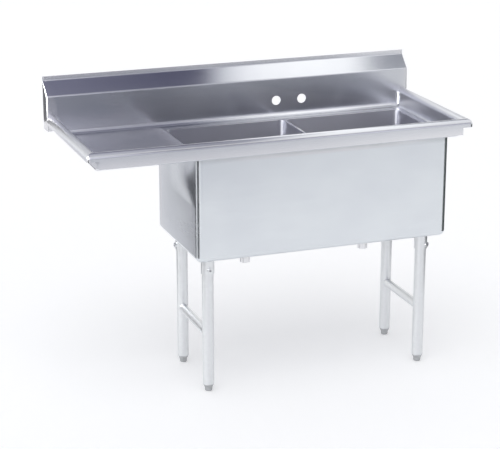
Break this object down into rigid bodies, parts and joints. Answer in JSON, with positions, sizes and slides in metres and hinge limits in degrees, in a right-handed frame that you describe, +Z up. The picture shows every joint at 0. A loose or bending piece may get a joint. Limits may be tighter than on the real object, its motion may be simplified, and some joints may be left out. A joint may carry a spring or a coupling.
{
  "type": "commercial two-compartment sink",
  "caption": "Free-standing stainless steel commercial sink: deep coved bowls, left drainboard, rolled rims, backsplash with tap holes, apron, tubular legs and levelling feet.",
  "frame": {"origin": "on the floor under the middle of the outline", "axes": "+X to the sink's right, along the backsplash; +Y towards the wall; +Z up"},
  "size_m": [1.41, 0.603, 1.067],
  "materials": {
    "stainless_sheet": "satin",
    "galvanised_tube": "galvanised",
    "galvanised_socket": "galvanised",
    "insert_metal": "zinc plated",
    "foot_metal": "cast, satin",
    "screw_steel": "oiled",
    "drain_metal": "polished",
    "nut_brass": "nickel plated",
    "gasket_rubber": "matte"
  },
  "bodies": {
    "sink": {"backsplash": "stainless_sheet", "backsplash_end_cap_left": "stainless_sheet", "backsplash_end_cap_right": "stainless_sheet", "drainboard": "stainless_sheet", "right_ledge": "stainless_sheet", "front_rim": "stainless_sheet", "left_rim": "stainless_sheet", "right_rim": "stainless_sheet", "front_apron": "stainless_sheet", "left_bowl": "stainless_sheet", "right_bowl": "stainless_sheet", "side_rail_left": "galvanised_tube", "side_rail_right": "galvanised_tube", "leg_front_left": "galvanised_tube", "leg_rear_left": "galvanised_tube", "leg_front_right": "galvanised_tube", "leg_rear_right": "galvanised_tube", "leg_socket_front_left": "galvanised_socket", "leg_socket_rear_left": "galvanised_socket", "leg_socket_front_right": "galvanised_socket", "leg_socket_rear_right": "galvanised_socket", "foot_insert_front_left": "insert_metal", "foot_insert_rear_left": "insert_metal", "foot_insert_front_right": "insert_metal", "foot_insert_rear_right": "insert_metal", "socket_set_screws": "screw_steel", "drain_body_left": "drain_metal", "drain_body_right": "drain_metal", "drain_tailpiece_left": "drain_metal", "drain_tailpiece_right": "drain_metal", "drain_locknut_left": "nut_brass", "drain_locknut_right": "nut_brass", "drain_coupling_nut_left": "nut_brass", "drain_coupling_nut_right": "nut_brass", "drain_gasket_left": "gasket_rubber", "drain_gasket_right": "gasket_rubber"},
    "foot_front_left": {"bullet_foot_front_left": "foot_metal"},
    "foot_rear_left": {"bullet_foot_rear_left": "foot_metal"},
    "foot_front_right": {"bullet_foot_front_right": "foot_metal"},
    "foot_rear_right": {"bullet_foot_rear_right": "foot_metal"},
    "strainer_left": {"strainer_basket_left": "drain_metal"},
    "strainer_right": {"strainer_basket_right": "drain_metal"}
  },
  "joints": [
    {"name": "level_foot_front_left", "type": "slide", "parent": "sink", "child": "foot_front_left", "axis": [0, 0, -1], "range_m": [0, 0.025]},
    {"name": "level_foot_rear_left", "type": "slide", "parent": "sink", "child": "foot_rear_left", "axis": [0, 0, -1], "range_m": [0, 0.025]},
    {"name": "level_foot_front_right", "type": "slide", "parent": "sink", "child": "foot_front_right", "axis": [0, 0, -1], "range_m": [0, 0.025]},
    {"name": "level_foot_rear_right", "type": "slide", "parent": "sink", "child": "foot_rear_right", "axis": [0, 0, -1], "range_m": [0, 0.025]},
    {"name": "lift_strainer_left", "type": "slide", "parent": "sink", "child": "strainer_left", "axis": [0, 0, 1], "range_m": [0, 0.47]},
    {"name": "lift_strainer_right", "type": "slide", "parent": "sink", "child": "strainer_right", "axis": [0, 0, 1], "range_m": [0, 0.47]}
  ]
}
